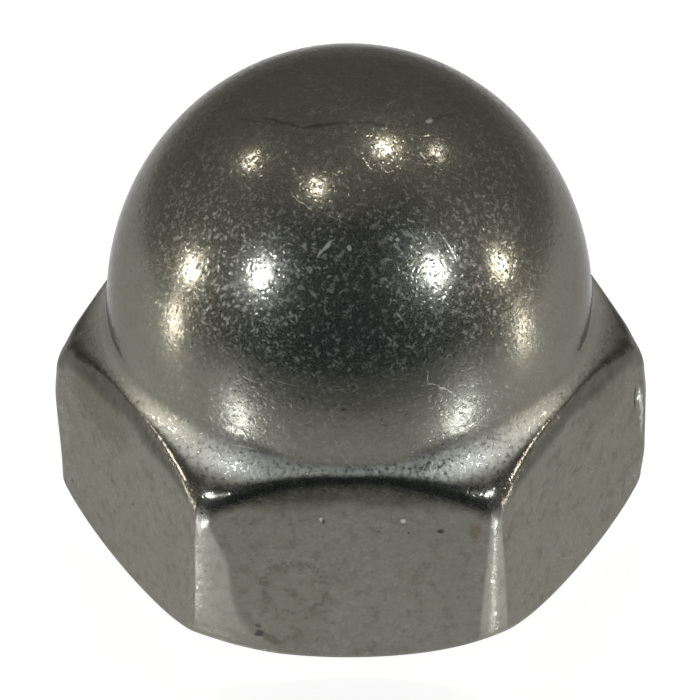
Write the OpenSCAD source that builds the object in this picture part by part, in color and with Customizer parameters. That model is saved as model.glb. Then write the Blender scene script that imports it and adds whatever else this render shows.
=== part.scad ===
// Domed cap nut, M10 x 1.5, one solid piece.
// It is built as it is made: a turned outline cut from hexagon bar, then drilled and countersunk.
// The bearing face lies on Z = 0, the thread axis is Z and the dome points up.
// Corners of the hexagon lie on +X and -X, and one flat faces -Y.
// All lengths are in millimetres and all angles in degrees.

/* [Hexagon] */
// Width across the flats, the spanner size
across_flats = 17; // [16.8:0.1:19]
// Height at which the shoulder cone would meet the neck
hex_height = 8; // [7:0.1:9]
// Radius of the six upright edges
upright_edge_r = 0.4; // [0.1:0.05:1]

/* [Shoulder] */
// Slope of the shoulder cone, measured from the level
shoulder_slope = 37.5; // [33:0.5:42]
// Radius that rolls the cone over into the corners
shoulder_r = 1.5; // [0.8:0.1:2]
// Radius of the fillet between the cone and the neck
neck_fillet_r = 0.8; // [0.4:0.05:0.9]

/* [Foot] */
// Diameter of the flat bearing face
bearing_d = 15.2; // [14.4:0.1:16]
// Radius of the arc that rolls the foot up into the corners
foot_r = 5.2; // [4:0.1:8]
// Slope of that arc where it leaves the bearing face, measured from the level
foot_slope = 18; // [10:1:25]

/* [Dome] */
// Diameter of the dome and of its neck
dome_d = 16.1; // [15.4:0.1:16.2]
// Height of the whole nut
total_height = 17.5; // [17:0.1:19]
// Length of the straight neck between the shoulder and the dome
neck_length = 0.8; // [0.7:0.05:1.2]
// Angle, seen from the centres of the arcs, at which the side arc becomes the crown arc
crown_joint_angle = 45; // [30:1:60]

/* [Tapped hole] */
// Nominal diameter of the thread
thread_d = 10; // [9:0.5:10]
// Pitch of the thread
thread_pitch = 1.5; // [1:0.25:1.5]
// Depth of the full-width drilled hole
hole_depth = 13; // [11:0.1:13.5]
// Point angle of the drill that leaves the blind end
drill_point_angle = 118; // [110:1:140]
// Diameter of the countersunk mouth
countersink_d = 10.8; // [10.2:0.1:12]
// Included angle of the countersink
countersink_angle = 120; // [90:5:120]

/* [Hidden] */
// Smoothness of every round
$fn = 128;
// Overshoot of the cuts
cut = 1;
// Overlap of tangent neighbours, so that they cross
overlap = 0.001;
// Length by which the crown arc runs on past its joint, for the same reason
run_on = 0.5;

// Hexagon bar: true corners, and the centres of the arcs that round them
SIDES = 6;
HALF_SECTOR = 180 / SIDES;
true_corner_r = across_flats / 2 / cos(HALF_SECTOR);
edge_centre_r = true_corner_r - upright_edge_r / cos(HALF_SECTOR);

// Turned outline: where the neck and the bearing face end, and the waist between shoulder and foot
neck_r = dome_d / 2;
bearing_r = bearing_d / 2;
waist_z = hex_height / 2;

// Dome: two tangent arcs, solved from its radius, its rise and the angle of their joint
neck_top = hex_height + neck_length;
dome_rise = total_height - overlap - neck_top;
joint_sin = sin(crown_joint_angle);
joint_cos = cos(crown_joint_angle);
crown_r = (neck_r * joint_sin - dome_rise * (1 - joint_cos))
    / (joint_sin * joint_cos - (1 - joint_cos) * (1 - joint_sin));
side_r = (dome_rise - crown_r * (1 - joint_sin)) / joint_sin;

// Hole: minor diameter of the metric thread, and the depths of its two cones
minor_d = thread_d - 1.0825 * thread_pitch;
drill_point_depth = minor_d / 2 / tan(drill_point_angle / 2);
countersink_depth = (countersink_d - minor_d) / 2 / tan(countersink_angle / 2);

// Point at the given distance and direction from a centre
function polar(centre, radius, angle) = centre + radius * [cos(angle), sin(angle)];

// Point of the shoulder cone at the given distance from the axis
function on_cone(r) = [r, hex_height - (r - neck_r) * tan(shoulder_slope)];

// Hexagon bar: straight flats between the tangent points, and six round edges
module hexagon_outline() {
    corners = [for (i = [0 : SIDES - 1]) i * 2 * HALF_SECTOR];
    polygon([
        for (a = corners)
            for (side = [-HALF_SECTOR, HALF_SECTOR])
                polar(polar([0, 0], edge_centre_r, a), upright_edge_r, a + side)
    ]);
    for (a = corners)
        translate(polar([0, 0], edge_centre_r, a))
            circle(r = upright_edge_r);
}

// Half section of the foot: the bearing face, then an arc that rolls up into the corners
module foot() {
    centre = polar([bearing_r, 0], foot_r, 90 + foot_slope);
    rim_r = centre[0] + foot_r;
    intersection() {
        union() {
            square([centre[0], waist_z]);
            translate(centre)
                circle(r = foot_r);
            translate([0, centre[1]])
                square([rim_r, waist_z]);
        }
        square([rim_r, waist_z]);
    }
}

// Half section of the shoulder: a cone that falls away from the neck, then an arc out to the true corners
module shoulder() {
    arc_end = on_cone(true_corner_r - shoulder_r * (1 - sin(shoulder_slope)));
    centre = polar(arc_end, overlap - shoulder_r, 90 - shoulder_slope);
    polygon([
        [0, waist_z],
        [true_corner_r, waist_z],
        [true_corner_r, centre[1]],
        centre,
        arc_end,
        [neck_r, hex_height],
        [0, hex_height]
    ]);
    translate(centre)
        circle(r = shoulder_r);
}

// Neck with its concave fillet, tangent to the neck and to the shoulder cone
module filleted_neck() {
    fillet_end = on_cone(neck_r + neck_fillet_r * (1 - sin(shoulder_slope)));
    centre = [neck_r + neck_fillet_r, fillet_end[1] + (neck_fillet_r - overlap) * cos(shoulder_slope)];
    difference() {
        polygon([
            [0, waist_z],
            fillet_end,
            centre,
            [centre[0], neck_top],
            [0, neck_top]
        ]);
        translate(centre)
            circle(r = neck_fillet_r);
        translate([neck_r, centre[1]])
            square([neck_fillet_r + cut, neck_top]);
    }
}

// Half section of the dome: a side arc about a centre beyond the axis, then a crown arc about the axis
module dome() {
    crown_z = neck_top + dome_rise - crown_r;
    joint_z = neck_top + side_r * joint_sin;
    intersection() {
        translate([neck_r - side_r, neck_top])
            circle(r = side_r);
        translate([0, neck_top])
            square([neck_r + cut, joint_z - neck_top]);
    }
    intersection() {
        translate([0, crown_z])
            circle(r = crown_r + overlap);
        translate([0, joint_z - run_on])
            square([neck_r, crown_r]);
    }
}

// Half section of the whole outside, as the lathe leaves it
module turned_outline() {
    foot();
    shoulder();
    filleted_neck();
    dome();
}

// Blind tapped hole at the minor diameter of its thread, with drill point and countersunk mouth
module tapped_hole() {
    translate([0, 0, -cut])
        cylinder(d = minor_d, h = hole_depth + cut);
    translate([0, 0, hole_depth])
        cylinder(d1 = minor_d, d2 = 0, h = drill_point_depth);
    cylinder(d1 = countersink_d, d2 = minor_d, h = countersink_depth);
}

module cap_nut() {
    color("#8b8a80")
        difference() {
            intersection() {
                translate([0, 0, -cut])
                    linear_extrude(total_height + 2 * cut)
                        hexagon_outline();
                rotate_extrude()
                    turned_outline();
            }
            tapped_hole();
        }
}

cap_nut();
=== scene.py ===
"""Domed cap nut in tumbled stainless steel, standing on a pale table under a ring of small lamps."""

import logging
import math
from dataclasses import dataclass
from enum import Enum

import bmesh
import bpy
import numpy as np
from mathutils import Matrix, Vector, noise

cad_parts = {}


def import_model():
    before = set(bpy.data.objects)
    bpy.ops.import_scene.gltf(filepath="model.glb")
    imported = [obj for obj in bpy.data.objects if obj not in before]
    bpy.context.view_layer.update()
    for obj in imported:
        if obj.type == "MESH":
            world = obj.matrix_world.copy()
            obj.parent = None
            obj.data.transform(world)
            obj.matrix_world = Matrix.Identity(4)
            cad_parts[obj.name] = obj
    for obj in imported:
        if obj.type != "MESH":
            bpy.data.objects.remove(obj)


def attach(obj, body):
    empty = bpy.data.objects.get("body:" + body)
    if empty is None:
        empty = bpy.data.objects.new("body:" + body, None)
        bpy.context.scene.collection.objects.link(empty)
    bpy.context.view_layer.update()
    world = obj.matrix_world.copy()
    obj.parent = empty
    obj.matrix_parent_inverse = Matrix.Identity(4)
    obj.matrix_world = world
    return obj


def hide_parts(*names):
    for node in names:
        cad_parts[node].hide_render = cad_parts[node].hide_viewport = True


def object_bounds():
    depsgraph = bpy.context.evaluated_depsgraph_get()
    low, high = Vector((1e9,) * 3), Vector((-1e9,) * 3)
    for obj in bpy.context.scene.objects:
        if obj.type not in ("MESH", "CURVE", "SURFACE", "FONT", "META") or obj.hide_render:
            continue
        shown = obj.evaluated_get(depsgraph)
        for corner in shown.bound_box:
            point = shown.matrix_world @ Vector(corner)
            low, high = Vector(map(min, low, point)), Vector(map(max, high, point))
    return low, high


MM = 0.001
SIDES = 6
SECTOR = 2 * math.pi / SIDES
LOG = logging.getLogger("cap_nut")


class Corner(Enum):
    """Upright corners of the hexagon, numbered anticlockwise from +X as seen from above."""

    RIGHT = 0
    BACK_RIGHT = 1
    BACK_LEFT = 2
    LEFT = 3
    FRONT_LEFT = 4
    FRONT_RIGHT = 5


class Wear(Enum):
    """Maps that tell the finish where the skin is worn and where sheen, highlights and shade are painted on
    it, by the names that the mesh stores them under.
    """

    GRAIN = "grain"
    # Upright edges worn bare, partly painted highlight, and painted highlights on the upper corner tips
    RUBBED_AND_HIGHLIGHT = "rubbed_and_highlight"
    # Painted sheen: the shoulder made lighter where it faces up, most towards the front
    PAINTED_SHEEN = "painted_sheen"
    # Painted shade on the bend over the upper edge, and a darker outer ring on the shoulder
    SHADE_AND_DARKER_RING = "shade_and_darker_ring"
    SCUFFS = "scuffs"


def smooth(low: float, high: float, value: np.ndarray) -> np.ndarray:
    """Ease from 0 at low to 1 at high."""
    t = np.clip((value - low) / (high - low), 0.0, 1.0)
    return t * t * (3.0 - 2.0 * t)


def from_corner(angle: np.ndarray) -> np.ndarray:
    """Turn from the nearest corner of the hexagon to each direction, in radians."""
    return angle - np.round(angle / SECTOR) * SECTOR


def quads(rows: int, count: int, base: int) -> list[tuple[int, ...]]:
    """Quads of a grid with closed columns.

    Args:
        rows: Number of rows.
        count: Number of columns.
        base: Number of the grid's first vertex.

    Returns:
        The quads as vertex numbers.
    """
    faces = []
    for i in range(rows - 1):
        low, high = base + i * count, base + (i + 1) * count
        for k in range(count):
            n = (k + 1) % count
            faces.append((low + k, low + n, high + n, high + k))
    return faces


@dataclass(frozen=True)
class Ramp:
    """Smooth change from one value to another between two limits."""

    low: float
    high: float
    start: float = 0.0
    end: float = 1.0

    def at(self, value: np.ndarray) -> np.ndarray:
        """Height of the ramp at each value."""
        return self.start + (self.end - self.start) * smooth(self.low, self.high, value)


@dataclass(frozen=True)
class Swell:
    """Slight bulge of an upright edge, upset when the nut was headed."""

    corner: Corner
    amount: float
    rise: Ramp
    half_width: float = math.radians(7)


@dataclass(frozen=True)
class WornCorner:
    """Upright edge that is knocked to a broad facet, which flares towards the foot."""

    corner: Corner = Corner.FRONT_LEFT
    heights: tuple[float, ...] = (0.9 * MM, 1.5 * MM, 2.2 * MM, 3.2 * MM, 4.4 * MM, 5.4 * MM, 6.6 * MM)
    ahead: tuple[float, ...] = (2.5 * MM, 1.85 * MM, 1.4 * MM, 1.15 * MM, 1.05 * MM, 0.62 * MM, 0.2 * MM)
    behind: tuple[float, ...] = (0.9 * MM, 0.55 * MM, 0.42 * MM, 0.4 * MM, 0.4 * MM, 0.35 * MM, 0.2 * MM)
    fullness: tuple[float, ...] = (3.0, 3.0, 3.0, 3.0, 3.0, 2.5, 1.05)

    def reach(self, off: np.ndarray, height: np.ndarray, apothem: float) -> np.ndarray:
        """Distance from the axis to the facet.

        Args:
            off: Direction from the corner, in radians, anticlockwise positive.
            height: Height of each point above the bearing face.
            apothem: Distance of the flats from the axis.

        Returns:
            The distance in metres.
        """
        s, c = math.sin(SECTOR / 2), math.cos(SECTOR / 2)
        edge = apothem / c
        ahead = np.interp(height, self.heights, self.ahead)
        behind = np.interp(height, self.heights, self.behind)
        first = np.stack([edge - behind * s, -behind * c], -1)
        last = np.stack([edge - ahead * s, ahead * c], -1)
        chord = last - first
        length = np.linalg.norm(chord, axis=-1)
        radius = length * np.interp(height, self.heights, self.fullness)
        inward = np.stack([-chord[..., 1], chord[..., 0]], -1) / length[..., None]
        depth = np.sqrt(radius ** 2 - length ** 2 / 4)
        centre = (first + last) / 2 + inward * depth[..., None]
        along = centre[..., 0] * np.cos(off) + centre[..., 1] * np.sin(off)
        square = radius ** 2 - (centre ** 2).sum(-1) + along ** 2
        begins = np.arctan2(first[..., 1], first[..., 0])
        ends = np.arctan2(last[..., 1], last[..., 0])
        return np.where((off > begins) & (off < ends), along + np.sqrt(np.maximum(square, 0.0)), edge)


@dataclass(frozen=True)
class HexagonBar:
    """Hexagon bar with upright edges that are tumbled rounder towards the foot, one of them blunt."""

    across_flats: float
    height: float
    edge_top_r: float = 0.3 * MM
    edge_foot_r: float = 1.0 * MM
    blunt: Corner = Corner.FRONT_RIGHT
    blunt_foot_r: float = 1.7 * MM
    worn: WornCorner = WornCorner()
    swells: tuple[Swell, ...] = (
        Swell(Corner.LEFT, 0.12 * MM, Ramp(1.6 * MM, 5.2 * MM)),
        Swell(Corner.RIGHT, 0.12 * MM, Ramp(1.2 * MM, 2.6 * MM)),
    )
    swells_end: tuple[float, float] = (0.6, 0.82)

    def reach(self, angle: np.ndarray, height: np.ndarray) -> np.ndarray:
        """Distance from the axis to the side of the bar.

        Args:
            angle: Direction of each point about the axis, in radians.
            height: Height of each point above the bearing face.

        Returns:
            The distance in metres.
        """
        corner = np.round(angle / SECTOR).astype(int) % SIDES
        off = from_corner(angle)
        off_corner = np.abs(off)
        rise = np.clip(height / self.height, 0.0, 1.0)
        foot_r = np.where(corner == self.blunt.value, self.blunt_foot_r, self.edge_foot_r)
        radius = foot_r + (self.edge_top_r - foot_r) * rise
        apothem = self.across_flats / 2
        half = SECTOR / 2
        centre = (apothem - radius) / math.cos(half)
        tangent = np.arctan2(radius * math.sin(half), centre + radius * math.cos(half))
        flat = apothem / np.cos(half - off_corner)
        square = np.maximum(radius ** 2 - (centre * np.sin(off_corner)) ** 2, 0.0)
        rounded = centre * np.cos(off_corner) + np.sqrt(square)
        reach = np.where(off_corner < tangent, rounded, flat)
        facet = np.minimum(flat, self.worn.reach(off, height, apothem))
        reach = np.where(corner == self.worn.corner.value, facet, reach)
        end_low, end_high = (share * self.height for share in self.swells_end)
        for swell in self.swells:
            near = (corner == swell.corner.value) * (1.0 - smooth(0.0, swell.half_width, off_corner))
            rise = swell.rise.at(height) * (1.0 - smooth(end_low, end_high, height))
            reach = reach + swell.amount * near * rise
        return reach


@dataclass(frozen=True)
class TurnedOutline:
    """Half outline that the lathe cuts: foot, shoulder, neck and dome."""

    total_height: float
    hex_height: float = 8.05 * MM
    bearing_r: float = 7.6 * MM
    foot_r: float = 5.2 * MM
    foot_slope: float = math.radians(18)
    shoulder_slope: float = math.radians(37.5)
    neck_r: float = 8.05 * MM
    neck_length: float = 0.8 * MM
    shoulder_run: float = 3.0 * MM
    crown_joint: float = math.radians(45)

    @property
    def foot_centre(self) -> tuple[float, float]:
        """Centre of the arc that rolls the foot up.

        Returns:
            Its radius and height.
        """
        return (
            self.bearing_r - self.foot_r * math.sin(self.foot_slope),
            self.foot_r * math.cos(self.foot_slope),
        )

    @property
    def neck_top(self) -> float:
        """Height at which the neck becomes the dome."""
        return self.hex_height + self.neck_length

    def dome_radii(self) -> tuple[float, float]:
        """Solve the two arcs of the dome, which are tangent at their joint.

        Returns:
            Radius of the side arc and of the crown arc.
        """
        rise = self.total_height - self.neck_top
        s, c = math.sin(self.crown_joint), math.cos(self.crown_joint)
        crown = (self.neck_r * s - rise * (1 - c)) / (s * c - (1 - c) * (1 - s))
        side = (rise - crown * (1 - s)) / s
        return side, crown

    def at(self, angle: float, height: float, apothem: float) -> tuple[Vector, Vector]:
        """Point and outward normal on the dome, or on the flats below it.

        Args:
            angle: Direction about the axis, in degrees.
            height: Height above the bearing face.
            apothem: Distance of the flats from the axis.

        Returns:
            The point and the normal there.
        """
        turn = math.radians(angle)
        outward = Vector((math.cos(turn), math.sin(turn), 0.0))
        if height < self.neck_top:
            middle = (math.floor(turn / SECTOR) + 0.5) * SECTOR
            flat = Vector((math.cos(middle), math.sin(middle), 0.0))
            return outward * (apothem / outward.dot(flat)) + Vector((0.0, 0.0, height)), flat
        side_r, crown_r = self.dome_radii()
        rise = (height - self.neck_top) / side_r
        if rise < math.sin(self.crown_joint):
            slope = math.asin(rise)
            radius = self.neck_r - side_r + side_r * math.cos(slope)
        else:
            slope = math.asin(min((height - self.total_height) / crown_r + 1.0, 1.0))
            radius = crown_r * math.cos(slope)
        normal = outward * math.cos(slope) + Vector((0.0, 0.0, math.sin(slope)))
        return outward * radius + Vector((0.0, 0.0, height)), normal

    def foot(self, turn: np.ndarray) -> np.ndarray:
        """Points on the foot arc.

        Args:
            turn: Slope of the arc at each point, from the level.

        Returns:
            Radius and height of each point, stacked on the last axis.
        """
        x, z = self.foot_centre
        return np.stack([x + self.foot_r * np.sin(turn), z - self.foot_r * np.cos(turn)], -1)

    def shoulder(self, fillet_r: float, steps: int = 40) -> np.ndarray:
        """Line of the shoulder cone, the fillet and the neck, from beyond the corners up to the dome.

        Args:
            fillet_r: Radius of the fillet between the cone and the neck.
            steps: Number of points on the fillet.

        Returns:
            Radius and height of each point, one row each.
        """
        slope = self.shoulder_slope
        centre_r = self.neck_r + fillet_r
        tangent_r = centre_r - fillet_r * math.sin(slope)
        tangent_z = self.hex_height - (tangent_r - self.neck_r) * math.tan(slope)
        centre_z = tangent_z + fillet_r * math.cos(slope)
        outer_r = self.neck_r + self.shoulder_run
        outer = [(outer_r, self.hex_height - (outer_r - self.neck_r) * math.tan(slope))]
        turn = np.linspace(slope, math.pi / 2, steps)
        fillet = np.stack([centre_r - fillet_r * np.sin(turn), centre_z - fillet_r * np.cos(turn)], -1)
        return np.concatenate([outer, fillet, [(self.neck_r, self.neck_top)]])

    def dome(self, arc_rows: int) -> np.ndarray:
        """Points above the neck up to the crown, without the crown point itself.

        Args:
            arc_rows: Number of points on each arc of the dome.

        Returns:
            Radius and height of each point, one row each.
        """
        side_r, crown_r = self.dome_radii()
        low = np.linspace(0.0, self.crown_joint, arc_rows + 1)[1:]
        side = np.stack([
            self.neck_r - side_r + side_r * np.cos(low),
            self.neck_top + side_r * np.sin(low),
        ], -1)
        high = np.linspace(self.crown_joint, math.pi / 2, arc_rows + 1)[1:-1]
        crown_z = self.total_height - crown_r
        crown = np.stack([crown_r * np.cos(high), crown_z + crown_r * np.sin(high)], -1)
        return np.concatenate([side, crown])


@dataclass(frozen=True)
class TappedHole:
    """Blind hole with a right-hand metric thread, a countersunk mouth and a drill point."""

    major_d: float = 10.0 * MM
    pitch: float = 1.5 * MM
    depth: float = 13.0 * MM
    drill_point: float = math.radians(118)
    mouth_d: float = 10.8 * MM
    mouth_angle: float = math.radians(120)
    columns: int = 96
    rows_a_turn: int = 16
    run_out: float = 2.0 * MM
    run_out_end: float = 0.4 * MM
    lip: float = 0.08 * MM
    thread_depths: float = 1.0825
    root_half: float = 1 / 16
    flank_end: float = 3 / 8
    point_rings: tuple[float, ...] = (0.08, 0.35, 0.7)

    @property
    def minor_r(self) -> float:
        """Radius of the drilled hole, both thread depths inside the major diameter."""
        return (self.major_d - self.thread_depths * self.pitch) / 2

    def groove(self, angle: np.ndarray, height: float) -> np.ndarray:
        """Radius of the threaded wall.

        Args:
            angle: Direction of each point about the axis.
            height: Height of the row above the bearing face.

        Returns:
            The distance from the axis at each point.
        """
        phase = (height / self.pitch - angle / (2 * math.pi)) % 1.0
        off_centre = np.abs(phase - 0.5)
        share = np.clip((self.flank_end - off_centre) / (self.flank_end - self.root_half), 0.0, 1.0)
        fade = 1.0 - smooth(self.depth - self.run_out, self.depth - self.run_out_end, height)
        cut = (self.major_d / 2 - self.minor_r) * share * fade
        cone = self.mouth_d / 2 - height * math.tan(self.mouth_angle / 2)
        return np.maximum(self.minor_r + cut, cone)

    def rings(self) -> tuple[np.ndarray, Vector]:
        """Rings of the hole's wall, from the drill point down to the mouth.

        Returns:
            The rings, one row of points each, and the tip of the drill point.
        """
        angle = np.arange(self.columns) * 2 * math.pi / self.columns
        tip = self.depth + self.minor_r / math.tan(self.drill_point / 2)
        rings = []
        for share in self.point_rings:
            rings.append((np.full(self.columns, self.minor_r * share), tip + (self.depth - tip) * share))
        count = round(self.depth / self.pitch * self.rows_a_turn)
        for height in np.linspace(self.depth, 0.0, count + 1):
            rings.append((self.groove(angle, height), height))
        rings.append((np.full(self.columns, self.mouth_d / 2 + self.lip), 0.0))
        x, y = np.cos(angle), np.sin(angle)
        points = [np.stack([radius * x, radius * y, np.full(self.columns, z)], -1) for radius, z in rings]
        return np.stack(points), Vector((0.0, 0.0, tip))


@dataclass(frozen=True)
class Ding:
    """Small dent, set by where it lies on the outside and how it leans."""

    angle: float
    height: float
    length: float
    width: float
    depth: float
    lean: float = 0.0
    outside_r: float = 10 * MM

    def press(self, points: np.ndarray, normals: np.ndarray) -> np.ndarray:
        """Depth of the dent at each point.

        Args:
            points: Points on the surface.
            normals: Outward normals at those points.

        Returns:
            How far each point moves along its normal, as a negative number.
        """
        bearing = np.arctan2(points[:, 1], points[:, 0])
        off = np.abs((bearing - math.radians(self.angle) + math.pi) % (2 * math.pi) - math.pi)
        near = off + np.abs(points[:, 2] - self.height) / self.outside_r
        centre = points[np.argmin(near)]
        normal = normals[np.argmin(near)]
        along = np.cross(normal, (0.0, 0.0, 1.0))
        along /= np.linalg.norm(along)
        up = np.cross(along, normal)
        long_axis = math.cos(math.radians(self.lean)) * up + math.sin(math.radians(self.lean)) * along
        short_axis = np.cross(normal, long_axis)
        offset = points - centre
        u = offset @ long_axis / (self.length / 2)
        v = offset @ short_axis / (self.width / 2)
        w = offset @ normal / self.width
        return -self.depth * np.exp(-(u ** 2 + v ** 2 + w ** 2))


ShoulderProfile = tuple[np.ndarray, np.ndarray, np.ndarray, tuple[np.ndarray, np.ndarray], np.ndarray]


@dataclass(frozen=True)
class Handling:
    """Where the outside is flecked with scuffs and worn bare, where its outer shoulder is darker, and where
    a sheen on the shoulder, highlights on the corners and shade on the bend are painted.
    """

    # Scuffs: by distance to the side and by height, then what is left on the flats and on the bend
    scuffs_aside: Ramp = Ramp(4.8 * MM, 7.2 * MM, 1.0, 0.3)
    scuffs_low: Ramp = Ramp(11.0 * MM, 13.5 * MM, 0.5, 1.0)
    scuffs_crown: Ramp = Ramp(14.8 * MM, 16.6 * MM, 1.0, 0.4)
    flats_end: Ramp = Ramp(7.6 * MM, 8.0 * MM, 1.0, 0.0)
    flats_scuffs: float = 0.3
    bend_scuffs: float = 0.4

    # Painted sheen towards the front of the shoulder, and its darker outer ring, by distance from the axis
    # and from the front
    sheen_ring: Ramp = Ramp(8.55 * MM, 9.0 * MM, 1.0, 0.15)
    sheen_back: Ramp = Ramp(-6.5 * MM, -3.0 * MM, 1.0, 0.25)
    darker_ring: Ramp = Ramp(9.0 * MM, 9.4 * MM, 0.0, 0.8)

    # Upright edges worn bare, partly painted highlight, and painted highlights on the upper corner tips, by
    # how far the corner is worn, its width and the share of the height
    rounding: Ramp = Ramp(0.004 * MM, 0.03 * MM)
    edge_width: Ramp = Ramp(0.0, 0.2, 1.0, 0.0)
    edge_end: Ramp = Ramp(0.72, 0.9, 1.0, 0.0)
    tip_width: Ramp = Ramp(math.radians(0.5), math.radians(2.0), 1.0, 0.0)
    tip_start: Ramp = Ramp(0.5, 0.72)
    tip_end: Ramp = Ramp(0.88, 0.93, 1.0, 0.0)

    def maps(self, bar: HexagonBar, points: np.ndarray, grain: np.ndarray,
             rolled: np.ndarray) -> dict[Wear, np.ndarray]:
        """Map the wear of the outside, and its painted sheen, highlights and shade.

        Args:
            bar: Bar that the nut is made from.
            points: Points on the outside.
            grain: How coarse the grain is at each point.
            rolled: How far each point is on the bend over the upper edge.

        Returns:
            One map for each kind of wear or painted light, from 0 to 1.
        """
        x, y, height = points.T
        radius = np.hypot(x, y)
        dome = self.scuffs_aside.at(np.abs(x)) * self.scuffs_low.at(height) * self.scuffs_crown.at(height)
        on_flats = self.flats_end.at(height) * (1.0 - grain)
        scuffs = dome + (self.flats_scuffs - dome) * on_flats
        return {
            Wear.GRAIN: grain,
            Wear.RUBBED_AND_HIGHLIGHT: self.rubbed_and_highlight(bar, points),
            Wear.PAINTED_SHEEN: grain * self.sheen_ring.at(radius) * self.sheen_back.at(y),
            # Painted shade on the bend, and the darker outer ring of the shoulder
            Wear.SHADE_AND_DARKER_RING: np.maximum(rolled, grain * self.darker_ring.at(radius)),
            Wear.SCUFFS: scuffs * (1.0 - (1.0 - self.bend_scuffs) * rolled),
        }

    def rubbed_and_highlight(self, bar: HexagonBar, points: np.ndarray) -> np.ndarray:
        """How bare the upright edges are worn, partly a painted highlight, and the painted highlights on the
        tips of the corners above them.

        Args:
            bar: Bar that the nut is made from.
            points: Points on the outside.

        Returns:
            1 on the edges and the tips, 0 on the flats and above the bend.
        """
        x, y, height = points.T
        off_corner = np.abs(from_corner(np.arctan2(y, x)))
        apothem = bar.across_flats / 2
        flat = apothem / np.cos(SECTOR / 2 - off_corner)
        corner = apothem / math.cos(SECTOR / 2)
        reach = np.hypot(x, y)
        rise = height / bar.height
        # Edges worn bare where the corner is rounded, partly painted highlight
        edge = self.rounding.at(flat - reach) * self.edge_width.at((corner - reach) / corner)
        # Painted highlight along the upper part of each corner
        tip = self.tip_width.at(off_corner) * self.tip_end.at(rise)
        return np.maximum(edge * self.edge_end.at(rise), tip * self.tip_start.at(rise))


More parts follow.
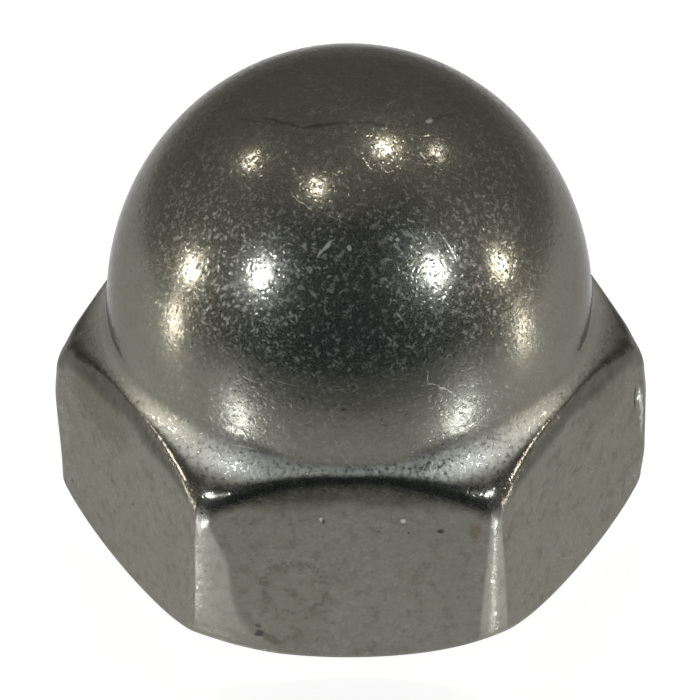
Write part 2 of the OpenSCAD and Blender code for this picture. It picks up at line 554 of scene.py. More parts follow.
@dataclass
class CapNut:
    """The whole nut: one closed skin round the outside and the tapped hole."""

    bar: HexagonBar
    outline: TurnedOutline
    hole: TappedHole
    dings: tuple[Ding, ...]
    handling: Handling = Handling()

    # Mesh: columns between two corners, then rows from the foot to the crown
    corner_columns: int = 50
    flat_columns: int = 34
    lip_rows: int = 3
    foot_rows: int = 12
    foot_bend_rows: int = 8
    side_rows: int = 30
    bend_rows: int = 20
    neck_rows: int = 30
    arc_rows: int = 27
    corner_span: float = math.radians(16)

    # Bends: the rim of the bearing face, the edges above and below the flats, and the neck's fillet
    seat_width: float = 1.2 * MM
    lip: float = 0.12 * MM
    lip_handle: float = 0.08 * MM
    edge_r: float = 0.55 * MM
    side_edge_r: float = 1.1 * MM
    corner_edge_r: float = 1.7 * MM
    foot_edge_r: float = 0.3 * MM
    foot_corner_r: float = 0.5 * MM
    fillet_r: float = 1.4 * MM
    front_fillet_r: float = 0.45 * MM
    corner_fillet_r: float = 2.2 * MM
    tip_share: Ramp = Ramp(0.0, 0.2, 1.0, 0.0)
    front_share: Ramp = Ramp(0.3, 0.9, 1.0, 0.0)
    fillet_share: Ramp = Ramp(0.0, 0.7, 1.0, 0.0)
    skirt: Ramp = Ramp(0.15, 0.85, 1.15, 3.8)

    # Search for where the surfaces meet: first guesses as shares of the height and of the bend's radius
    tries: int = 6
    foot_guess: float = 0.1
    edge_guess: float = 0.85
    trim_guess: float = 0.4
    sharp_angle: float = math.radians(50)

    # Wear and painted shade: rows past the bend's ends where the grain and the bend's painted shade set in,
    # where the neck's grain stops, waves and ripples
    grain_begins: Ramp = Ramp(-2, 4)
    rolled_begins: Ramp = Ramp(-1, 6)
    rolled_ends: Ramp = Ramp(-3, 4, 1.0, 0.0)
    grain_stop: float = 0.2 * MM
    wave: float = 0.004 * MM
    waves_a_mm: float = 0.35
    ripple: float = 0.35
    ripples_a_mm: float = 0.9
    seat_clear: float = 0.05 * MM

    def columns(self) -> np.ndarray:
        """Space the columns closer together round the corners.

        Returns:
            Direction of each column.
        """
        half = self.corner_span / 2
        dense = np.linspace(-half, half, self.corner_columns, endpoint=False)
        sparse = np.linspace(half, SECTOR - half, self.flat_columns, endpoint=False)
        one = np.concatenate([dense, sparse])
        return np.concatenate([one + k * SECTOR for k in range(SIDES)])

    @staticmethod
    def bend(start: np.ndarray, leave: np.ndarray, arrive: np.ndarray, end: np.ndarray,
             handles: tuple[np.ndarray, np.ndarray], rows: int) -> np.ndarray:
        """Round an edge with a smooth bend.

        Args:
            start: Where the bend leaves the first surface.
            leave: Direction of the first surface there.
            arrive: Direction of the second surface where the bend ends.
            end: Where the bend meets the second surface.
            handles: Lengths of the bend's handles at its start and at its end.
            rows: Number of points between the ends.

        Returns:
            The points between the ends, one row each.
        """
        first = start + leave * handles[0][:, None]
        second = end - arrive * handles[1][:, None]
        share = np.linspace(0.0, 1.0, rows + 2)[1:-1, None, None]
        return (
            start * (1 - share) ** 3
            + 3 * first * share * (1 - share) ** 2
            + 3 * second * share ** 2 * (1 - share)
            + end * share ** 3
        )

    def foot_edge(self, angle: np.ndarray) -> tuple[np.ndarray, np.ndarray]:
        """Find where the foot arc meets the side of the bar in each column.

        Args:
            angle: Directions of the columns.

        Returns:
            The slope of the arc there, and the height.
        """
        height = np.full(angle.shape, self.foot_guess) * self.bar.height
        for _ in range(2 * self.tries):
            reach = self.bar.reach(angle, height)
            turn = np.arcsin(np.clip((reach - self.outline.foot_centre[0]) / self.outline.foot_r, -1.0, 1.0))
            height = 0.5 * height + 0.5 * self.outline.foot(turn)[:, 1]
        return turn, height

    def bend_radii(self, angle: np.ndarray) -> tuple[np.ndarray, np.ndarray, np.ndarray]:
        """Radii of the bends in each column.

        Args:
            angle: Directions of the columns.

        Returns:
            Radius of the upper bend, of the foot bend and of the fillet at the neck.
        """
        half = SECTOR / 2
        share = np.abs(from_corner(angle)) / half
        tip = self.tip_share.at(share)
        upper = self.side_edge_r + (self.edge_r - self.side_edge_r) * share
        upper += (self.corner_edge_r - self.side_edge_r) * tip
        foot = self.foot_edge_r + (self.foot_corner_r - self.foot_edge_r) * tip
        off_front = np.abs((angle + math.pi / 2 + math.pi) % (2 * math.pi) - math.pi)
        front = self.front_share.at(off_front / half)
        middle = self.fillet_r + (self.front_fillet_r - self.fillet_r) * front
        fillet = middle + (self.corner_fillet_r - middle) * self.fillet_share.at(share)
        return upper, foot, fillet

    def outside(self, angle: np.ndarray) -> tuple[np.ndarray, np.ndarray, np.ndarray]:
        """Points of the outside, from the bearing face up to the crown.

        Args:
            angle: Directions of the columns.

        Returns:
            Radius and height of each point, by row and column, then how coarse the grain is in each row,
            and how far each row is on the bend over the upper edge.
        """
        edge_r, foot_r, fillet_r = self.bend_radii(angle)
        one = np.ones(angle.shape)
        up = np.stack([0 * one, one], -1)
        rows, low = self.foot_profile(angle, foot_r)

        high, begin, arrive, handles, upper = self.shoulder_profile(angle, edge_r, fillet_r)
        share = np.linspace(0.0, 1.0, self.side_rows)[:, None]
        level = low + (high - low) * share
        rows.append(np.stack([self.bar.reach(angle[None] + 0 * level, level), level], -1))
        below = sum(len(row) for row in rows)
        above = below + self.bend_rows
        rows.append(self.bend(rows[-1][-1], up, arrive, begin, handles, self.bend_rows))
        rows.append(upper)
        dome = self.outline.dome(self.arc_rows)
        rows.append(dome[:, None, :] * np.ones((1, angle.size, 1)))

        profile = np.concatenate(rows)
        row = np.arange(len(profile))
        over_bend = self.grain_begins.at(row - above)
        rolled = self.rolled_begins.at(row - below) * self.rolled_ends.at(row - above)
        neck_foot = self.outline.hex_height + self.grain_stop
        up_neck = 1.0 - smooth(neck_foot, self.outline.neck_top, profile[:, 0, 1])
        return profile, over_bend * up_neck, rolled

    def foot_profile(self, angle: np.ndarray, foot_r: np.ndarray) -> tuple[list[np.ndarray], np.ndarray]:
        """Lay the bearing face's rim, the foot arc and the bend over its edge.

        Args:
            angle: Directions of the columns.
            foot_r: Radius of the bend in each column.

        Returns:
            The rows so far, each as radius and height, and the height at which the flats begin.
        """
        one = np.ones(angle.shape)
        level = np.stack([one, 0 * one], -1)
        up = np.stack([0 * one, one], -1)
        inner = self.outline.bearing_r - self.lip
        rows = [(radius * level)[None] for radius in (self.outline.bearing_r - self.seat_width, inner)]
        start = self.outline.foot_slope + self.lip / self.outline.foot_r
        arrive = np.stack([np.cos(start) * one, np.sin(start) * one], -1)
        handle = self.lip_handle * one
        first = self.outline.foot(start * one)
        rows.append(self.bend(rows[-1][0], level, arrive, first, (handle, handle), self.lip_rows))

        turn, height = self.foot_edge(angle)
        trim = foot_r * np.tan((math.pi / 2 - turn) / 2)
        handle = foot_r * np.tan((math.pi / 2 - turn) / 4) * 4 / 3
        last = turn - trim / self.outline.foot_r
        share = np.linspace(0.0, 1.0, self.foot_rows)[:, None]
        rows.append(self.outline.foot(start + (last - start) * share))
        low = height + trim
        flat_start = np.stack([self.bar.reach(angle, low), low], -1)
        leave = np.stack([np.cos(last), np.sin(last)], -1)
        rows.append(self.bend(rows[-1][-1], leave, up, flat_start, (handle, handle), self.foot_bend_rows))
        return rows, low

    def shoulder_profile(self, angle: np.ndarray, edge_r: np.ndarray,
                         fillet_r: np.ndarray) -> ShoulderProfile:
        """Lay the shoulder and neck of each column, trimmed for the bend over the upper edge.

        Args:
            angle: Directions of the columns.
            edge_r: Radius of the bend in each column.
            fillet_r: Radius of the fillet in each column.

        Returns:
            Height where the bend leaves the side, point and direction where it meets the shoulder,
            lengths of its two handles, and the rows above it.
        """
        high = np.empty(angle.size)
        begin = np.empty((angle.size, 2))
        arrive = np.empty((angle.size, 2))
        low_handle = np.empty(angle.size)
        high_handle = np.empty(angle.size)
        upper = np.empty((self.neck_rows, angle.size, 2))
        skirt = self.skirt.at(np.abs(from_corner(angle)) / (SECTOR / 2))
        for k in range(angle.size):
            line = self.outline.shoulder(fillet_r[k])
            steps = np.linalg.norm(np.diff(line, axis=0), axis=1)
            run = np.concatenate([[0.0], np.cumsum(steps)])
            slopes = np.arctan2(np.diff(line[:, 1]), -np.diff(line[:, 0]))
            middle = (run[1:] + run[:-1]) / 2
            height = self.edge_guess * self.bar.height
            for _ in range(self.tries):
                reach = float(self.bar.reach(angle[k:k + 1], np.array([height]))[0])
                edge = float(np.interp(-reach, -line[:, 0], run))
                height = float(np.interp(edge, run, line[:, 1]))
            trim = self.trim_guess * edge_r[k]
            for _ in range(self.tries):
                slope = float(np.interp(edge + trim, middle, slopes))
                trim = edge_r[k] * math.tan((math.pi / 2 - slope) / 2)
            high[k] = height - trim * skirt[k]
            start = edge + trim
            begin[k] = [np.interp(start, run, line[:, i]) for i in (0, 1)]
            arrive[k] = (-math.cos(slope), math.sin(slope))
            high_handle[k] = edge_r[k] * math.tan((math.pi / 2 - slope) / 4) * 4 / 3
            low_handle[k] = high_handle[k] * skirt[k]
            places = np.linspace(start, run[-1], self.neck_rows)
            upper[:, k] = np.stack([np.interp(places, run, line[:, i]) for i in (0, 1)], -1)
        return high, begin, arrive, (low_handle, high_handle), upper

    def wear(self, points: np.ndarray, normals: np.ndarray) -> np.ndarray:
        """Move the outside by the slight waves and dents that tumbling leaves.

        Args:
            points: Points on the outside.
            normals: Outward normals at those points.

        Returns:
            The moved points.
        """
        move = np.zeros(len(points))
        apart = Vector((7, 3, 5))
        for k, point in enumerate(points):
            place = Vector(point) / MM
            finer = noise.noise(place * self.ripples_a_mm + apart)
            move[k] = noise.noise(place * self.waves_a_mm) + self.ripple * finer
        move *= self.wave
        for ding in self.dings:
            move += ding.press(points, normals)
        move[points[:, 2] < self.seat_clear] = 0.0
        return points + normals * move[:, None]

    @staticmethod
    def grid_normals(grid: np.ndarray) -> np.ndarray:
        """Outward normals of a grid of rows and closed columns.

        Args:
            grid: Points by row and column.

        Returns:
            Unit normals by row and column.
        """
        around = np.roll(grid, -1, 1) - np.roll(grid, 1, 1)
        upward = np.gradient(grid, axis=0)
        normals = np.cross(around, upward)
        return normals / np.maximum(np.linalg.norm(normals, axis=2, keepdims=True), 1e-12)

    @staticmethod
    def zip_rings(outer: list[int], outer_angle: np.ndarray, inner: list[int],
                  inner_angle: np.ndarray) -> list[tuple[int, ...]]:
        """Join two rings that have different numbers of points.

        Args:
            outer: Vertex numbers of the first ring.
            outer_angle: Their directions, rising.
            inner: Vertex numbers of the second ring.
            inner_angle: Their directions, rising.

        Returns:
            Triangles between the rings.
        """
        faces = []
        i = j = 0
        full = 2 * math.pi
        while i < len(outer) or j < len(inner):
            next_outer = outer_angle[(i + 1) % len(outer)] + (full if i + 1 >= len(outer) else 0.0)
            next_inner = inner_angle[(j + 1) % len(inner)] + (full if j + 1 >= len(inner) else 0.0)
            a, b = outer[i % len(outer)], inner[j % len(inner)]
            if j >= len(inner) or (i < len(outer) and next_outer <= next_inner):
                faces.append((a, outer[(i + 1) % len(outer)], b))
                i += 1
            else:
                faces.append((a, inner[(j + 1) % len(inner)], b))
                j += 1
        return faces

    def skin(self) -> tuple[np.ndarray, list[tuple[int, ...]], dict[Wear, np.ndarray]]:
        """Lay the closed skin.

        Returns:
            Its points, its faces and the maps of its wear.
        """
        angle = self.columns()
        profile, row_grain, row_rolled = self.outside(angle)
        grid = np.stack([
            profile[..., 0] * np.cos(angle),
            profile[..., 0] * np.sin(angle),
            profile[..., 1],
        ], -1)
        normals = self.grid_normals(grid)
        outside = self.wear(grid.reshape(-1, 3), normals.reshape(-1, 3))
        rings, tip = self.hole.rings()
        crown = np.array([[0.0, 0.0, self.outline.total_height]])
        points = np.concatenate([outside, crown, rings.reshape(-1, 3), np.array([tip])])

        rows, count = grid.shape[:2]
        faces = quads(rows, count, 0)
        top = rows * count
        last = (rows - 1) * count
        faces += [(last + k, last + (k + 1) % count, top) for k in range(count)]
        base = top + 1
        hole_rows, hole_count = rings.shape[:2]
        faces += quads(hole_rows, hole_count, base)
        bottom = base + hole_rows * hole_count
        faces += [(base + (k + 1) % hole_count, base + k, bottom) for k in range(hole_count)]
        mouth = list(range(bottom - hole_count, bottom))
        mouth_angle = np.arange(hole_count) * 2 * math.pi / hole_count
        foot_angle = np.unwrap(angle)
        first = int(np.argmin(np.abs(foot_angle)))
        order = [(first + k) % count for k in range(count)]
        turned = (foot_angle[order] - foot_angle[first]) % (2 * math.pi)
        faces += self.zip_rings(order, turned, mouth, mouth_angle)
        grain, rolled = np.repeat(row_grain, count), np.repeat(row_rolled, count)
        maps = self.handling.maps(self.bar, grid.reshape(-1, 3), grain, rolled)
        inside = np.zeros(len(points) - top)
        return points, faces, {kind: np.concatenate([values, inside]) for kind, values in maps.items()}

    def build(self, material: bpy.types.Material) -> bpy.types.Object:
        """Make the nut.

        Args:
            material: Finish of the whole nut.

        Returns:
            The finished object.
        """
        points, faces, maps = self.skin()
        mesh = bpy.data.meshes.new("cap_nut_skin")
        mesh.from_pydata(points.tolist(), [], faces)
        for kind, values in maps.items():
            mesh.attributes.new(kind.value, "FLOAT", "POINT").data.foreach_set("value", values)
        mesh.shade_smooth()
        mesh.set_sharp_from_angle(angle=self.sharp_angle)
        mesh.materials.append(material)
        piece = bpy.data.objects.new("cap_nut_skin", mesh)
        bpy.context.scene.collection.objects.link(piece)
        recalculate_normals(mesh)
        return piece


def recalculate_normals(mesh: bpy.types.Mesh) -> None:
    """Turn every face of a closed mesh outwards.

    Args:
        mesh: The mesh.
    """
    work = bmesh.new()
    work.from_mesh(mesh)
    bmesh.ops.recalc_face_normals(work, faces=work.faces)
    work.to_mesh(mesh)
    work.free()


Socket = bpy.types.NodeSocket
Value = Socket | float | tuple[float, ...]
Colour = tuple[float, float, float, float]
BLACK = (0.0, 0.0, 0.0, 1.0)
HALVES = (0.5, 0.5, 0.5)


class Shade:
    """Short ways to add nodes to a material's or world's tree."""

    def __init__(self, tree: bpy.types.NodeTree) -> None:
        """Start on a tree that is cleared first."""
        self.tree = tree
        tree.nodes.clear()

    def node(self, kind: str, inputs: dict[int | str, Value] | None = None,
             **settings: object) -> bpy.types.Node:
        """Add a node.

        Args:
            kind: Type of the node.
            inputs: Values for its inputs, or sockets to link them to, by number or name.
            **settings: Its settings by name.

        Returns:
            The node.
        """
        made = self.tree.nodes.new(kind)
        for name, value in settings.items():
            setattr(made, name, value)
        for key, value in (inputs or {}).items():
            if isinstance(value, Socket):
                self.tree.links.new(value, made.inputs[key])
            else:
                made.inputs[key].default_value = value
        return made

    def math(self, operation: str, first: Value, second: Value = 0.0, clamp: bool = False) -> Socket:
        """Add a maths node.

        Args:
            operation: Its operation.
            first: First value or socket.
            second: Second value or socket.
            clamp: Whether the result stays between 0 and 1.

        Returns:
            The result's socket.
        """
        made = self.node("ShaderNodeMath", {0: first, 1: second}, operation=operation, use_clamp=clamp)
        return made.outputs[0]

    def vector(self, operation: str, first: Value, second: Value = (0.0, 0.0, 0.0)) -> Socket:
        """Add a vector maths node.

        Args:
            operation: Its operation.
            first: First vector or socket.
            second: Second vector or socket.

        Returns:
            The result's socket, a number for a length or a dot product.
        """
        made = self.node("ShaderNodeVectorMath", {0: first, 1: second}, operation=operation)
        return made.outputs["Value" if operation in ("LENGTH", "DOT_PRODUCT") else "Vector"]

    def ease(self, value: Value, ramp: Ramp) -> Socket:
        """Lead a value over a ramp.

        Args:
            value: Value or socket.
            ramp: The ramp.

        Returns:
            The socket of the ramp's height there.
        """
        inputs = {0: value, 1: ramp.low, 2: ramp.high, 3: ramp.start, 4: ramp.end}
        made = self.node("ShaderNodeMapRange", inputs, interpolation_type="SMOOTHSTEP", clamp=True)
        return made.outputs[0]

    def blend(self, share: Value, first: Value, second: Value) -> Socket:
        """Mix two colours, where the share is that of the second."""
        return self.node("ShaderNodeMix", {0: share, 6: first, 7: second}, data_type="RGBA").outputs[2]

    def fold(self, operation: str, values: tuple[Value, ...]) -> Socket:
        """Combine values or sockets one after another.

        Args:
            operation: Operation of each maths node.
            values: The values or sockets.

        Returns:
            The result's socket.
        """
        result = values[0]
        for value in values[1:]:
            result = self.math(operation, result, value)
        return result

    def product(self, *values: Value) -> Socket:
        """Multiply values or sockets together."""
        return self.fold("MULTIPLY", values)

    def highest(self, *values: Value) -> Socket:
        """Keep the highest of some values or sockets."""
        return self.fold("MAXIMUM", values)

    def sum_up(self, *layers: tuple[Socket, float]) -> Socket:
        """Add up layers.

        Args:
            *layers: Socket and height of each layer.

        Returns:
            The sum's socket.
        """
        result: Value = 0.0
        for layer, depth in layers:
            result = self.math("ADD", result, self.product(layer, depth))
        return result

    def scaled(self, value: Value, share: Value) -> Socket:
        """Scale a vector by a number or socket."""
        return self.node("ShaderNodeVectorMath", {0: value, "Scale": share}, operation="SCALE").outputs[0]

    def part(self, value: Socket, index: int) -> Socket:
        """One of the three parts of a vector or colour."""
        return self.node("ShaderNodeSeparateXYZ", {0: value}).outputs[index]

    def map(self, kind: Wear) -> Socket:
        """One of the maps of the skin's wear."""
        return self.node("ShaderNodeAttribute", attribute_name=kind.value).outputs["Fac"]


def new_material(name: str) -> tuple[bpy.types.Material, Shade]:
    """Start a material.

    Args:
        name: Name of the finish.

    Returns:
        The material, and its tree to add nodes to.
    """
    made = bpy.data.materials.new(name)
    made.use_nodes = True
    return made, Shade(made.node_tree)


@dataclass(frozen=True)
class Cloud:
    """Cloudy pattern, by its waves to the unit, its number of finer layers and their strength."""

    scale: float
    detail: float = 2.0
    roughness: float = 0.5
    ramp: Ramp | None = None

    def noise(self, shade: Shade, place: Socket) -> bpy.types.Node:
        """Add the noise that the pattern is made from.

        Args:
            shade: Tree to add to.
            place: Coordinates.

        Returns:
            The noise's node.
        """
        inputs = {"Vector": place, "Scale": self.scale, "Detail": self.detail, "Roughness": self.roughness}
        return shade.node("ShaderNodeTexNoise", inputs)

    def lay(self, shade: Shade, place: Socket) -> Socket:
        """Add the pattern, from 0 to 1, or over its ramp where it has one."""
        level = self.noise(shade, place).outputs["Fac"]
        return shade.ease(level, self.ramp) if self.ramp else level

    def stir(self, shade: Shade, place: Socket) -> Socket:
        """Add a cloudy vector, with parts from -0.5 to 0.5."""
        return shade.vector("SUBTRACT", self.noise(shade, place).outputs["Color"], HALVES)


@dataclass(frozen=True)
class Scratches:
    """Layer of short straight scratches in all directions, one in each of some cells.

    Scratches to the millimetre, half width in millimetres, share of the cells that hold one, an offset
    that keeps layers apart, and depth in millimetres.
    """

    scale: float
    half_width: float
    cover: float
    apart: float
    depth: float
    ends: Ramp = Ramp(0.25, 0.5, 1.0, 0.0)
    faint: float = 0.15

    def lay(self, shade: Shade, place: Socket) -> Socket:
        """Add the layer.

        Args:
            shade: Tree to add to.
            place: Coordinates in millimetres.

        Returns:
            How deep each place is in a scratch, from 0 to 1.
        """
        moved = shade.vector("ADD", place, (self.apart, 2 * self.apart, -self.apart))
        cells = shade.node("ShaderNodeTexVoronoi", {"Vector": moved, "Scale": self.scale})
        local = shade.vector("SUBTRACT", moved, cells.outputs["Position"])
        chance = shade.vector("SUBTRACT", cells.outputs["Color"], HALVES)
        across = shade.vector("NORMALIZE", chance)
        off = shade.math("ABSOLUTE", shade.vector("DOT_PRODUCT", local, across))
        line = shade.ease(off, Ramp(0.0, self.half_width, 1.0, 0.0))
        ends = shade.ease(cells.outputs["Distance"], self.ends)
        bare = 1.0 - self.cover
        kept = shade.ease(shade.part(cells.outputs["Color"], 1), Ramp(bare, bare + self.faint))
        return shade.product(line, ends, kept)


@dataclass(frozen=True)
class Specks:
    """Layer of small round specks, one in each of some cells.

    Specks to the millimetre, radius as a share of a cell, share of the cells that hold one, an offset
    that keeps layers apart, and depth in millimetres.
    """

    scale: float
    size: float
    cover: float
    apart: float
    depth: float = 0.0
    faint: float = 0.1

    def lay(self, shade: Shade, place: Socket) -> Socket:
        """Add the layer.

        Args:
            shade: Tree to add to.
            place: Coordinates in millimetres.

        Returns:
            How deep each place is in a speck, from 0 to 1.
        """
        moved = shade.vector("ADD", place, (self.apart, -self.apart, 2 * self.apart))
        cells = shade.node("ShaderNodeTexVoronoi", {"Vector": moved, "Scale": self.scale})
        bare = 1.0 - self.cover
        kept = shade.ease(shade.part(cells.outputs["Color"], 2), Ramp(bare, bare + self.faint))
        spot = shade.ease(cells.outputs["Distance"], Ramp(0.0, self.size, 1.0, 0.0))
        return shade.product(spot, kept)


class Blemish(Enum):
    """Kinds of mark on the steel; among the pits and the marks of rubbing are a painted dark reflection and
    painted highlights.
    """

    STAIN = "stain"
    # Pits, and a painted dark reflection across the crown
    PIT_AND_DARK_REFLECTION = "pit_and_painted_dark"
    # Marks of rubbing, also painted highlights
    RUB_AND_HIGHLIGHT = "rub_and_highlight"
    RUST = "rust"
    RING = "ring"


@dataclass(frozen=True)
class Mark:
    """One mark on the steel, from one place to another; a place is an angle and a height in mm."""

    kind: Blemish
    start: tuple[float, float]
    end: tuple[float, float]
    width: float
    strength: float

    # Shares of the half size where the mark thins out and ends, half width of a ring's line, and its gaps
    core: float = 0.5
    fade: float = 1.3
    line: tuple[float, float] = (0.04, 0.17)
    gaps: Cloud = Cloud(9.0, 1.0, ramp=Ramp(0.44, 0.54))

    def axes(self, outline: TurnedOutline, apothem: float) -> tuple[Vector, tuple[Vector, ...]]:
        """Find where the mark lies.

        Args:
            outline: Outline of the nut.
            apothem: Distance of the flats from the axis.

        Returns:
            Its middle in millimetres, and its three axes, each over its half size.
        """
        first, _ = outline.at(self.start[0], self.start[1] * MM, apothem)
        last, _ = outline.at(self.end[0], self.end[1] * MM, apothem)
        turn, height = (self.start[0] + self.end[0]) / 2, (self.start[1] + self.end[1]) / 2
        _, normal = outline.at(turn, height * MM, apothem)
        run = (last - first) / MM
        level = Vector((0.0, 0.0, 1.0)).cross(normal)
        along = run.normalized() if run.length > 0.01 else level.normalized()
        across = normal.cross(along).normalized()
        scaled = (along / ((run.length + self.width) / 2), across / (self.width / 2), normal)
        return (first + last) / 2 / MM, scaled

    def lay(self, shade: Shade, place: Socket, outline: TurnedOutline, apothem: float) -> Socket:
        """Add the mark.

        Args:
            shade: Tree to add to.
            place: Coordinates in millimetres.
            outline: Outline of the nut.
            apothem: Distance of the flats from the axis.

        Returns:
            How much of the mark is at each place, from 0 to its strength.
        """
        middle, axes = self.axes(outline, apothem)
        offset = shade.vector("SUBTRACT", place, tuple(middle))
        joined = shade.node("ShaderNodeCombineXYZ")
        for socket, axis in zip(joined.inputs, axes):
            shade.tree.links.new(shade.vector("DOT_PRODUCT", offset, tuple(axis)), socket)
        reach = shade.vector("LENGTH", joined.outputs[0])
        if self.kind is Blemish.RING:
            band = shade.math("ABSOLUTE", shade.math("SUBTRACT", reach, 1.0))
            broken = self.gaps.lay(shade, place)
            return shade.product(shade.ease(band, Ramp(*self.line, self.strength, 0.0)), broken)
        return shade.ease(reach, Ramp(self.core, self.fade, self.strength, 0.0))


@dataclass(frozen=True)
class TumbledSteel:
    """Polished stainless steel with the scratches, pits, specks and stains that tumbling and use leave, and
    with painted sheen, highlights, glints, shade and a dark reflection in its colour.
    """

    outline: TurnedOutline
    apothem: float
    marks: tuple[Mark, ...] = ()
    colour: Colour = (0.172, 0.168, 0.142, 1.0)
    # Worn-bare steel on the upright edges, partly a painted highlight
    bare: Colour = (0.31, 0.302, 0.262, 1.0)
    # Lighter, cooler tint of the flecks: partly worn scratches, partly painted glints
    scuff_and_glint: Colour = (0.31, 0.318, 0.315, 1.0)
    # Lighter steel for the painted sheen on the shoulder, and for marks of rubbing, some of them painted
    # highlights
    bright: Colour = (0.45, 0.445, 0.41, 1.0)
    stain: Colour = (0.12, 0.113, 0.088, 1.0)
    rust: Colour = (0.12, 0.085, 0.055, 1.0)
    # Dark of pits and specks; also the darker outer ring of the shoulder, the painted shade on the bend and
    # the painted dark reflection on the crown
    pit_and_painted_dark: Colour = (0.035, 0.033, 0.028, 1.0)
    rim: Colour = (0.6, 0.6, 0.6, 1.0)
    polish: float = 0.15
    haze: float = 0.52

    # Scratches, specks and the relief that they are pressed into
    dashes: Scratches = Scratches(5.4, 0.055, 0.65, 3.0, -0.003)
    strokes: Scratches = Scratches(2.8, 0.05, 0.45, 11.0, -0.004)
    hairs: Scratches = Scratches(0.7, 0.024, 0.3, 23.0, -0.006)
    dots: Specks = Specks(6.0, 0.42, 0.4, 7.0, -0.004)
    pits: Specks = Specks(2.0, 0.1, 0.4, 5.0, -0.01)
    tiny: Specks = Specks(4.5, 0.25, 0.25, 17.0)
    clumps: Cloud = Cloud(5.0, 2.0, 0.6, Ramp(0.5, 0.75, 0.0, 0.8))
    crowds: Cloud = Cloud(0.4, ramp=Ramp(0.35, 0.62, 0.55, 1.0))
    gaps: Cloud = Cloud(2.5, 1.0, ramp=Ramp(0.35, 0.6, 0.5, 1.0))
    swell: Cloud = Cloud(1.3)
    swell_depth: float = 0.005
    coarse: Cloud = Cloud(6.0, 2.0, 0.6)
    grain_depth: float = 0.012
    wobble: Cloud = Cloud(3.0)
    wobble_mm: float = 0.3

    # Lean of the smallest facets: of all, of the few that glint, and more on the grain
    facets: Cloud = Cloud(6.0, 1.0)
    lean_all: float = 0.04
    lean_few: float = 30.0
    lean_grain: float = 0.8

    # Stains, metal worn bare with painted highlights, a painted sheen, flecks tinted as painted glints, and
    # dark specks with painted shade
    upright: Ramp = Ramp(0.1, 0.3, 1.0, 0.0)
    flats_end: Ramp = Ramp(7.6, 8.2, 1.0, 0.0)
    mottle: Cloud = Cloud(6.0, 2.0, 0.6)
    clouds: Cloud = Cloud(0.5, 4.0, 0.6)
    blotch: Cloud = Cloud(2.0, 4.0, 0.65)
    cloudy: Ramp = Ramp(0.4, 0.75)
    patchy: Ramp = Ramp(0.48, 0.68)
    cloud_stain: float = 0.3
    mottle_stain: float = 0.3
    flat_stain: float = 0.6
    speckled: Ramp = Ramp(0.3, 0.6, 0.5, 0.92)
    rubbed_and_highlight_foot: Ramp = Ramp(0.8, 2.2, 0.3, 1.0)
    # Painted sheen: how much lighter the shoulder is where it faces up
    raised: Ramp = Ramp(0.1, 0.5, 0.1, 1.0)
    streaky: Ramp = Ramp(0.4, 0.6, 0.65, 1.0)
    blotched: Ramp = Ramp(0.3, 0.6, 0.7, 1.0)
    fleck_tint: float = 0.75
    pit_tint: float = 0.85
    tiny_tint: float = 0.3
    # How dark the painted shade on the bend and the outer ring are
    darkening_tint: float = 0.6

    # Haze: a fine veil, and how much thicker the flecks, the grain and the rubs make it
    stipple: Ramp = Ramp(0.25, 0.58)
    fine: Cloud = Cloud(60.0, 0.0)
    veil: Ramp = Ramp(0.5, 0.75)
    fleck_haze: float = 0.45
    stipple_haze: float = 0.4
    rub_haze: float = 0.9
    grain_haze: float = 0.2

    def material(self) -> bpy.types.Material:
        """Make the finish.

        Returns:
            The material.
        """
        made, shade = new_material("tumbled_steel")
        layers = SteelLayers(self, shade)
        normal = layers.normal()
        flecks = layers.flecks()
        # Marks of rubbing, some of them painted highlights on the upright edges
        rubs_and_highlights = layers.cover(Blemish.RUB_AND_HIGHLIGHT)
        colour = layers.colour(flecks, rubs_and_highlights)
        steel = shade.node("ShaderNodeBsdfPrincipled", {
            "Metallic": 1.0,
            "Specular Tint": self.rim,
            "Base Color": colour,
            "Roughness": layers.roughness(flecks, rubs_and_highlights),
            "Normal": normal,
        })
        shade.node("ShaderNodeOutputMaterial", {"Surface": steel.outputs[0]})
        return made


